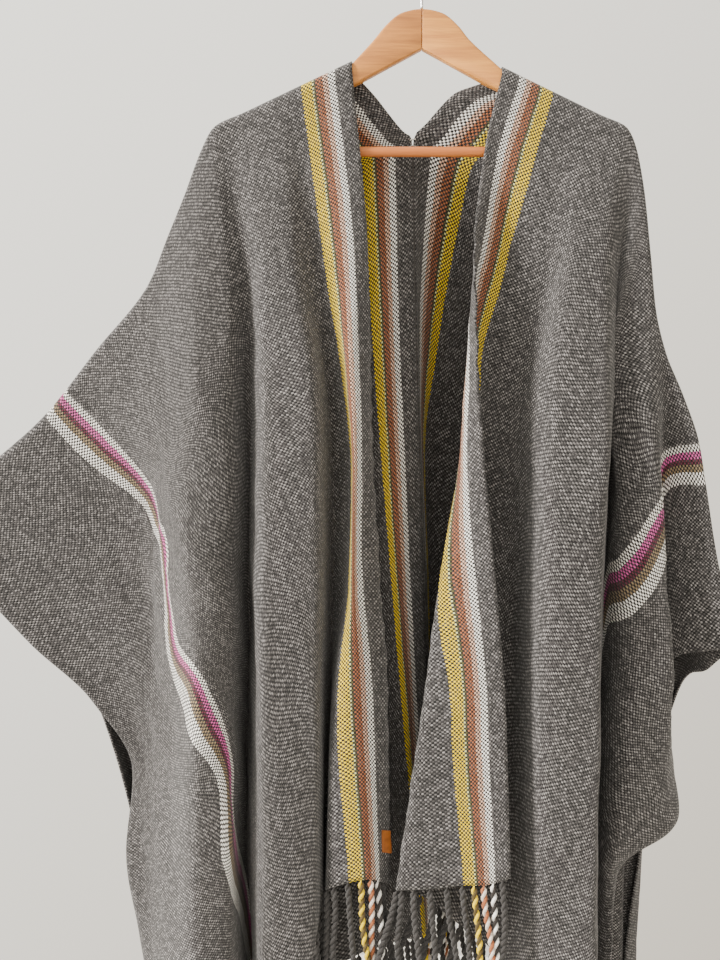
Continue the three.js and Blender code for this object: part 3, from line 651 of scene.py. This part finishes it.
def tanned_leather():
    """Vegetable-tanned leather, smooth side out: warm tan with fine pebbling."""
    made, tree, shader = material("tan leather")
    where = node(tree, "ShaderNodeTexCoord")
    pebbles = node(tree, "ShaderNodeTexVoronoi", {"Scale": 1400.0}, {"Vector": where.outputs["Object"]})
    colour = two_colours(tree, noise(tree, 160.0, 3.0), "#7E4518", "#A05C24", (0.3, 0.7))
    surface(tree, shader, colour, pebbles.outputs[0], 0.25, 0.0002, {"Roughness": 0.5})
    return made


def piece(name, points, faces, finish, slot, nodes=(), smooth_faces=True):
    """A mesh object from millimetre points, riding on the one body."""
    mesh = bpy.data.meshes.new(name)
    mesh.from_pydata((np.asarray(points, float) * MM).tolist(), [], [list(f) for f in faces])
    mesh.validate()
    if smooth_faces:
        mesh.shade_smooth()
    made = bpy.data.objects.new(name, mesh)
    bpy.context.scene.collection.objects.link(made)
    made.data.materials.append(finish)
    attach(made, "root")
    if nodes:
        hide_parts(*nodes)
    return made


def grid_faces(rows, columns, first=0, flip=False):
    """Quads of a grid of points."""
    j, i = np.meshgrid(np.arange(rows - 1), np.arange(columns - 1), indexing="ij")
    a = first + j * columns + i
    quads = np.stack([a, a + 1, a + columns + 1, a + columns], -1).reshape(-1, 4)
    return quads[:, ::-1] if flip else quads


def tube_faces(count, sides):
    """Faces of a closed tube: between its rings, and across both ends."""
    k, i = np.meshgrid(np.arange(count - 1), np.arange(sides), indexing="ij")
    a = k * sides + i
    b = k * sides + (i + 1) % sides
    faces = np.stack([a, b, b + sides, a + sides], -1).reshape(-1, 4).tolist()
    last = (count - 1) * sides
    return [*faces, list(range(sides))[::-1], [last + i for i in range(sides)]]


def rod(points, radius, sides):
    """Points and faces of a round rod along a path, with one radius or one for each point."""
    points = np.asarray(points, float)
    radii = np.broadcast_to(np.asarray(radius, float), (len(points),))
    along = unit(np.gradient(points, axis=0))
    side = np.array([0.0, 1.0, 0.0])
    if abs(along[0] @ side) > 0.9:
        side = np.array([1.0, 0.0, 0.0])
    angle = np.arange(sides) * 2 * math.pi / sides
    rings = []
    for p, t, r in zip(points, along, radii):
        side = side - t * (side @ t)
        side /= np.linalg.norm(side)
        up = np.cross(t, side)
        rings.append(p + r * (np.cos(angle)[:, None] * side + np.sin(angle)[:, None] * up))
    at = np.concatenate(rings)
    return at, tube_faces(len(points), sides)


def joined(parts):
    """The points and faces of several parts as one."""
    points, faces, first = [], [], 0
    for at, around in parts:
        points.append(at)
        faces += [[first + q for q in face] for face in around]
        first += len(at)
    return np.concatenate(points), faces


def tab_bend(degrees, radius):
    """A point of the tab's bend around the cloth's edge: how far in from the edge, and how far out."""
    angle = math.radians(degrees)
    return -math.cos(angle) * radius, -math.sin(angle) * radius


CLOTH = {}  # each panel's fine middle surface and outward directions, kept for what is sewn to it


class RuanaSettings(bpy.types.PropertyGroup):
    """Sizes and colours of the ruana."""

    thread_spacing: FloatProperty(
        name="Thread spacing",
        description="Distance between neighbouring yarns",
        default=0.0021,
        min=0.0005,
        unit="LENGTH",
    )
    cell: FloatProperty(
        name="Cell", description="Size of the cloth's mesh cells", default=0.006, min=0.003, unit="LENGTH"
    )
    fringe_length: FloatProperty(
        name="Fringe length",
        description="Length of the plied warp ends",
        default=0.1,
        min=0.01,
        unit="LENGTH",
    )
    fringe_cords: IntProperty(
        name="Fringe cords", description="Cords in the fringe of each panel's end", default=57, min=5, max=62
    )
    heather_mid: FloatVectorProperty(
        name="Heather grey",
        description="Tone of the dark grey weft",
        subtype="COLOR",
        size=3,
        default=linear("#272526")[:3],
    )


def settings():
    """The sizes and colours as set in the sidebar."""
    return bpy.context.scene.ruana


class RUANA_OT_cloth(bpy.types.Operator):
    """Weaves both panels and hangs them over the hanger"""

    bl_idname = "ruana.cloth"
    bl_label = "Woven panels"

    def execute(self, context):
        cell = settings().cell / MM
        us = np.linspace(0, WIDTH, int(WIDTH / cell) + 1)
        bend = BEND * math.pi / 2
        below = np.linspace(bend, HALF, int((HALF - bend) / cell) + 1)
        ss = np.concatenate([np.linspace(0, bend, 5), below[1:]])
        vs = np.concatenate([-ss[:0:-1], ss])
        finish = wool_cloth(settings())
        for hand, at in panels(us, ss).items():
            at = soften(at, 2) * 0.5 + at * 0.5
            n = normals(at, hand)
            # Wrinkles fade out where the cloth lies on the hanger and along the seam.
            calm = np.clip((np.abs(vs) - 60) / 120, 0, 1)[:, None]
            sewn = np.where(vs < -SLIT + 30, np.clip(us[None, :] / 40, 0, 1).T, 1).T
            rough = wrinkle(us[None, :], vs[:, None], 5 if hand == "left" else 11) * calm * sewn
            edge = np.exp(-us / 9)[None, :] * (vs > -SLIT)[:, None] * calm
            # The opening edges ripple a little.
            rough = rough + edge * 1.1 * np.sin(vs[:, None] / 5.3 + 1.7 * np.sin(vs[:, None] / 31))
            at = at + n * (rough + hanging_folds(us[None, :], vs[:, None]))[:, :, None]
            n = normals(at, hand)
            CLOTH[hand] = (us, vs, at, n)
            nv, nu = at.shape[:2]
            outer = (at + n * WALL / 2).reshape(-1, 3)
            inner = (at - n * WALL / 2).reshape(-1, 3)
            flip = hand == "right"
            faces = [grid_faces(nv, nu, 0, flip), grid_faces(nv, nu, nv * nu, not flip)]
            # Around the rim: the opening edge, one hem, the side edge and the other hem.
            rim = [j * nu for j in range(nv)]
            rim += [(nv - 1) * nu + i for i in range(1, nu)]
            rim += [j * nu + nu - 1 for j in range(nv - 2, -1, -1)]
            rim = np.array(rim + list(range(nu - 2, 0, -1)))
            nxt = np.roll(rim, -1)
            sides = np.stack([rim, nxt, nxt + nv * nu, rim + nv * nu], 1)
            faces.append(sides[:, ::-1] if flip else sides)
            points, faces = np.concatenate([outer, inner]), np.concatenate(faces)
            made = piece(f"{hand}_panel_cloth", points, faces, finish, "wool_cloth", (f"{hand}_panel",))
            layer = made.data.uv_layers.new(name="cloth")
            u_at = yarn_place(hand, us, vs).ravel() * MM
            v_at = np.repeat(vs, nu) * MM
            uv = np.stack([np.tile(u_at, 2), np.tile(v_at, 2)], 1)
            corner = np.empty(len(made.data.loops), int)
            made.data.loops.foreach_get("vertex_index", corner)
            layer.data.foreach_set("uv", uv[corner].ravel())
        return {"FINISHED"}


def between_columns(grid, row, us, u):
    """What a grid holds in one row at u, which may lie between two columns."""
    return np.array([np.interp(u, us, grid[row, :, c]) for c in range(3)])


def cord_path(hem, down, out, steps, reach, sway):
    """The line of a cord that leaves the hem straight down and then sways out and to one side."""
    outwards = (4.0 * sway[0] * np.sin(steps * 4.2) ** 2 * steps)[:, None]
    sideways = (6.0 * sway[1] * steps * np.sin(4.4 * steps + 2 * sway[2]))[:, None]
    return hem - down * 2 + steps[:, None] * reach * down + out * outwards + np.array([1.0, 0, 0]) * sideways


def plies(path, u, steps, reach, rng):
    """The two plies of a cord, each as (points, faces, colour)."""
    along = unit(np.gradient(path, axis=0))
    s1 = unit(np.cross(along, np.array([0, 1.0, 0])))
    s2 = np.cross(along, s1)
    turns = reach / CORD_LAY
    # Cords are thin where they leave the cloth and a little thinner at their ends.
    swell = np.clip(steps / 0.07, 0.35, 1) * (1 - 0.25 * np.clip((steps - 0.93) / 0.07, 0, 1))
    made = []
    for ply in (0, 1):
        a = 2 * math.pi * turns * steps + math.pi * ply + rng.uniform(-0.1, 0.1)
        off = CORD_RADIUS * swell
        strand = path + (off * np.cos(a))[:, None] * s1 + (off * np.sin(a))[:, None] * s2
        ring, quads = rod(strand, PLY_RADIUS * swell, 6)
        # One ply takes the stripe's warp, and its mate a darker or paler yarn.
        hue = cord_colours(u)[ply]
        tint = np.array(linear(hue))
        tint[:3] *= rng.uniform(0.75, 1.0) * (0.36 if hue == GREY_WARP else 1.0)
        made.append((ring, quads, tint))
    return made


class RUANA_OT_fringe(bpy.types.Operator):
    """Plies the warp ends below each hem into cords"""

    bl_idname = "ruana.fringe"
    bl_label = "Fringe"

    def execute(self, context):
        finish = wool_cord()
        for hand in ("left", "right"):
            for end, row, inner_row in (("front", -1, -4), ("back", 0, 3)):
                rng = np.random.default_rng({"front": 3, "back": 8}[end] + (hand == "left"))
                self.fringe(hand, end, row, inner_row, rng, finish)
        return {"FINISHED"}

    def fringe(self, hand, end, row, inner_row, rng, finish):
        """One panel's fringe at one end: the hem's row of the cloth, and a row further in."""
        us, _, at, n = CLOTH[hand]
        count = settings().fringe_cords
        length = settings().fringe_length / MM
        steps = np.linspace(0, 1, 44)
        strands = []
        for k in range(count):
            u = 6 + (WIDTH - 12) * (k + 0.5) / count
            hem = between_columns(at, row, us, u)
            down = hem - between_columns(at, inner_row, us, u)
            down /= np.linalg.norm(down)
            out = between_columns(n, row, us, u)
            reach = length * rng.uniform(0.93, 1.0)
            sway = rng.uniform(-1.0, 1.0, 4)
            path = cord_path(hem, down, out, steps, reach, sway)
            strands += plies(path, u, steps, reach, rng)
        points, faces = joined([strand[:2] for strand in strands])
        name = f"fringe_{end}_{hand}"
        made = piece(f"{name}_cords", points, faces, finish, "wool_fringe", (name,))
        colours = np.concatenate([np.tile(tint, (len(ring), 1)) for ring, _, tint in strands])
        layer = made.data.color_attributes.new("yarn", "FLOAT_COLOR", "POINT")
        layer.data.foreach_set("color", colours.ravel())


class RUANA_OT_sewing(bpy.types.Operator):
    """Sews the panels together down the back and bars the foot of the opening"""

    bl_idname = "ruana.sewing"
    bl_label = "Seam and bar stitches"

    def execute(self, context):
        _, vs, left, _ = CLOTH["left"]
        right = CLOTH["right"][2]

        def stitch(v, reach, rise, side):
            """A stitch across the seam at v, as far into each panel and as high above the cloth."""
            j = int(np.argmin(np.abs(vs - v)))
            a, b = left[j, 0], right[j, 0]
            near_a = a + (left[j, 1] - a) / np.linalg.norm(left[j, 1] - a) * reach
            near_b = b + (right[j, 1] - b) / np.linalg.norm(right[j, 1] - b) * reach
            out = np.array([0.0, side, 0.0])
            path = [
                near_a + out * 0.6,
                near_a * 0.75 + a * 0.25 + out * (WALL / 2 + rise),
                (a + b) / 2 + out * (WALL / 2 + rise * 1.6),
                near_b * 0.75 + b * 0.25 + out * (WALL / 2 + rise),
                near_b + out * 0.6,
            ]
            return rod(path, THREAD_RADIUS, 6)

        bars = [stitch(-(SLIT + 2 + 2.4 * k), 2.6, 0.4, side) for k in range(3) for side in (-1.0, 1.0)]
        white = wool_thread("white wool thread", "#A59F97", "#F0ECE4")
        piece("slit_bar_stitches", *joined(bars), white, "wool_cloth")
        middle = [(left[j, 0] + right[j, 0]) / 2 for j, v in enumerate(vs) if -HALF + 3 <= v <= -SLIT - 3]
        seam = [rod(middle, 1.0, 6)]
        # The seam's stitches lie 12 mm apart, by turns on the inside and the outside.
        for v in np.arange(-SLIT - 26, -HALF + 6, -12.0):
            seam += [stitch(v, 3.0, 0.3, -1.0), stitch(v - 6, 3.0, 0.3, 1.0)]
        grey = wool_thread("grey wool thread", "#2A2726", "#4B4745")
        piece("back_seam_stitches", *joined(seam), grey, "wool_cloth")
        return {"FINISHED"}


class RUANA_OT_tab(bpy.types.Operator):
    """Folds the small leather tab over the left front's opening edge"""

    bl_idname = "ruana.tab"
    bl_label = "Leather tab"

    def execute(self, context):
        _, vs, at, n = CLOTH["left"]
        inside = WALL / 2 + 0.25
        outside = inside + 1.2
        loop = [(TAB_DEPTH, outside)]
        loop += [tab_bend(a, outside) for a in np.linspace(-90, 90, 13)]
        loop += [(TAB_DEPTH, -outside), (TAB_DEPTH, -inside)]
        loop += [tab_bend(a, inside) for a in np.linspace(90, -90, 9)]
        loop.append((TAB_DEPTH, inside))
        rows = []
        for v in np.linspace(*TAB_ENDS, 9):
            j = np.interp(v, vs, np.arange(len(vs)))
            lo, t = int(j), j - int(j)
            edge = at[lo, 0] * (1 - t) + at[lo + 1, 0] * t
            second = at[lo, 2] * (1 - t) + at[lo + 1, 2] * t
            out = n[lo, 1] * (1 - t) + n[lo + 1, 1] * t
            along = (second - edge) / np.linalg.norm(second - edge)
            rows.append([edge + along * x + out * y for x, y in loop])
        rows = np.array(rows)
        faces = tube_faces(*rows.shape[:2])
        points = rows.reshape(-1, 3)
        piece("leather_tab", points, faces, tanned_leather(), "leather_tab", ("label_tab",), False)
        return {"FINISHED"}


class RUANA_OT_hanger(bpy.types.Operator):
    """Shapes the two wooden arms, the trouser bar and the wire hook"""

    bl_idname = "ruana.hanger"
    bl_label = "Hanger"

    def execute(self, context):
        # The arm's height along its slope, where the leg to the bar stands, and the gap to the cloth.
        tall, foot_x, foot_z, lift = 25.0, 186.0, -228.0, 2.3
        arms = (("left", -1, "#CC8638", "#9A5F26"), ("right", 1, "#D8933F", "#AC6C2C"))
        for hand, away, light, dark in arms:
            top = TOP[hand]
            slope = (top[2][2] - top[0][2]) / abs(top[2][1] - top[0][1])
            neck, tip = abs(top[0][1]), abs(top[2][1]) - 15

            def level(x):
                """The arm's upper edge."""
                return top[0][2] - lift + slope * (x - neck)

            crown = [(GAP / 2, -62), (12, -63.5), (26, -68.5), (40, -81), (54, -98), (neck, level(neck))]
            outline = [
                *spline(crown, 8),
                (tip, level(tip)),
                (tip + 4, level(tip) - 8),
                (tip + 1, foot_z),
                (foot_x, foot_z),
                (foot_x, level(foot_x) - tall),
                (66, level(66) - tall),
                (GAP / 2, -105.4),
            ]
            points, faces = board([(away * x, z) for x, z in outline], 12.0, 3.2)
            finish = varnished_wood(f"varnished beech {hand}", light, dark, away * -math.atan(slope))
            arm = f"hanger_arm_{hand}"
            made = piece(f"{hand}_arm_wood", points, faces, finish, "hanger_wood", (arm,))
            made.data.set_sharp_from_angle(angle=math.radians(38))
        reach = foot_x - GAP
        xs = np.linspace(-reach, reach, 12)
        ring, quads = rod(np.stack([xs, 0 * xs, 0 * xs - 216], 1), 5.5, 32)
        finish = varnished_wood("varnished beech bar", "#C8742E", "#A0551F", 0.0)
        bar = piece("trouser_bar_wood", ring, quads, finish, "hanger_wood", ("trouser_bar",))
        bar.data.set_sharp_from_angle(angle=math.radians(38))
        r = 19.6
        path = [(0, 0, z) for z in np.linspace(-61.4, -42, 8)]
        angles = np.radians(np.linspace(-80, 205, 72))
        path += [(r * math.cos(a), 0, -18 + r * math.sin(a)) for a in angles]
        path = np.array(path)
        # The stem runs softly into the crook.
        for _ in range(6):
            path[1:-1] = path[1:-1] * 0.5 + (path[:-2] + path[2:]) * 0.25
        ring, quads = rod(path, 1.6, 20)
        piece("hook_wire", ring, quads, zinc_wire(), "hook_wire", ("hook",))
        return {"FINISHED"}


def spline(points, per):
    """A smooth curve through a few points, per steps between each two."""
    p = np.array(points, float)
    fine = np.linspace(0, len(p) - 1, (len(p) - 1) * per + 1)
    ext = np.vstack([2 * p[0] - p[1], p, 2 * p[-1] - p[-2]])
    out = []
    for f in fine:
        i = min(int(f), len(p) - 2)
        s = f - i
        a, b, c, d = ext[i : i + 4]
        bow = (2 * a - 5 * b + 4 * c - d) * s**2
        out.append(0.5 * (2 * b + (c - a) * s + bow + (3 * b - a - 3 * c + d) * s**3))
    return [tuple(q) for q in out]


def board(outline, thick, bevel):
    """A board with rounded edges, its outline in XZ and its thickness along Y."""
    p = np.array(outline, float)
    if np.sum(p[:, 0] * np.roll(p[:, 1], -1) - np.roll(p[:, 0], -1) * p[:, 1]) < 0:
        p = p[::-1]
    n = len(p)
    a = unit(p - np.roll(p, 1, 0))
    b = unit(np.roll(p, -1, 0) - p)
    inward = unit(np.stack([-(a[:, 1] + b[:, 1]), a[:, 0] + b[:, 0]], 1))
    keep = np.maximum(np.sum(inward * np.stack([-b[:, 1], b[:, 0]], 1), 1), 0.6)
    rings = []
    for q in np.linspace(0, math.pi / 2, 5):
        rings.append((bevel * (1 - math.sin(q)), -thick / 2 + bevel * (1 - math.cos(q))))
    rings += [(w, -y) for w, y in rings[::-1]]
    # The ends where the two arms meet are hardly rounded.
    fine = np.where(np.abs(p[:, 0]) < 1, 0.25, 1.0)
    points = []
    for w, y in rings:
        q = p + inward * (w * fine / keep)[:, None]
        points.append(np.stack([q[:, 0], np.full(n, y), q[:, 1]], 1))
    faces = []
    for k in range(len(rings) - 1):
        for i in range(n):
            j = (i + 1) % n
            faces.append([k * n + i, (k + 1) * n + i, (k + 1) * n + j, k * n + j])
    faces.append(list(range(n)))
    last = (len(rings) - 1) * n
    faces.append([last + i for i in range(n - 1, -1, -1)])
    return np.concatenate(points), faces


class RUANA_OT_stage(bpy.types.Operator):
    """Sets the pale floor, the soft light and the camera"""

    bl_idname = "ruana.stage"
    bl_label = "Stage"

    def execute(self, context):
        scene = context.scene
        world = bpy.data.worlds.new("pale room")
        world.use_nodes = True
        back = world.node_tree.nodes["Background"]
        tree = world.node_tree
        # The room is lighter towards the window, high on the left.
        aim = node(tree, "ShaderNodeTexCoord")
        split = node(tree, "ShaderNodeSeparateXYZ", links={0: aim.outputs["Generated"]})
        ends = {0: split.outputs[2], 1: split.outputs[0]}
        slant = node(tree, "ShaderNodeMath", {"operation": "SUBTRACT"}, ends)
        spread = tones(tree, slant.outputs[0], 0.0, 1.0, -0.6, 0.6)
        tree.links.new(two_colours(tree, spread, "#C3BBAD", "#FFFBF0"), back.inputs[0])
        back.inputs[1].default_value = 2.0
        scene.world = world
        mesh = bpy.data.meshes.new("floor")
        angles = np.linspace(0, 2 * math.pi, 64, endpoint=False)
        ring = [(FLOOR_RADIUS * math.cos(a), FLOOR_RADIUS * math.sin(a), FLOOR_Z) for a in angles]
        mesh.from_pydata(ring, [], [list(range(64))])
        floor = bpy.data.objects.new("floor", mesh)
        scene.collection.objects.link(floor)
        paint, _, shader = material("matt pale floor")
        shader.inputs["Base Color"].default_value = linear("#D8D5CF")
        shader.inputs["Roughness"].default_value = 0.8
        mesh.materials.append(paint)
        for name, where, size, power, aim in LAMPS:
            lamp = bpy.data.lights.new(name, "AREA")
            lamp.shape = "DISK"
            lamp.size = size
            lamp.energy = power
            lamp.color = linear("#FFFAF3")[:3]
            made = bpy.data.objects.new(name, lamp)
            made.location = where
            made.rotation_euler = (Vector(aim) - Vector(where)).to_track_quat("-Z", "Y").to_euler()
            scene.collection.objects.link(made)
        eye = bpy.data.cameras.new("camera")
        eye.sensor_width = 36.0
        eye.lens = 36.0 * EYE_BACK / SEEN
        eye.dof.use_dof = False
        camera = bpy.data.objects.new("camera", eye)
        camera.location = (EYE_X * MM, -EYE_BACK * MM, EYE_Z * MM)
        camera.rotation_euler = (math.pi / 2, 0, 0)
        scene.collection.objects.link(camera)
        scene.camera = camera
        return {"FINISHED"}


class RUANA_PT_panel(bpy.types.Panel):
    """The sidebar with the sizes, the colours and a button for each step"""

    bl_idname = "RUANA_PT_panel"
    bl_label = "Ruana"
    bl_space_type = "VIEW_3D"
    bl_region_type = "UI"
    bl_category = "Ruana"

    def draw(self, context):
        for name in ("thread_spacing", "cell", "fringe_length", "fringe_cords", "heather_mid"):
            self.layout.prop(context.scene.ruana, name)
        for step in STEPS:
            self.layout.operator(step.bl_idname)


STEPS = (RUANA_OT_cloth, RUANA_OT_fringe, RUANA_OT_sewing, RUANA_OT_tab, RUANA_OT_hanger, RUANA_OT_stage)
CLASSES = (RuanaSettings, *STEPS, RUANA_PT_panel)


def register():
    """Adds the classes and the settings to Blender."""
    for cls in CLASSES:
        bpy.utils.register_class(cls)
    bpy.types.Scene.ruana = PointerProperty(type=RuanaSettings)


def unregister():
    """Takes them out again."""
    del bpy.types.Scene.ruana
    for cls in reversed(CLASSES):
        bpy.utils.unregister_class(cls)


def declare_sheets():
    """Looks up each panel's trimmings: the fringe cords at both ends, and on the left the leather tab."""
    for hand in ("left", "right"):
        trimmings = [bpy.data.objects[f"fringe_{end}_{hand}_cords"] for end in ("front", "back")]
        if hand == "left":
            trimmings.append(bpy.data.objects["leather_tab"])


def main():
    register()
    bpy.ops.ruana.cloth()
    bpy.ops.ruana.fringe()
    bpy.ops.ruana.sewing()
    bpy.ops.ruana.tab()
    bpy.ops.ruana.hanger()
    bpy.ops.ruana.stage()
    declare_sheets()


if __name__ == "__main__":
    main()
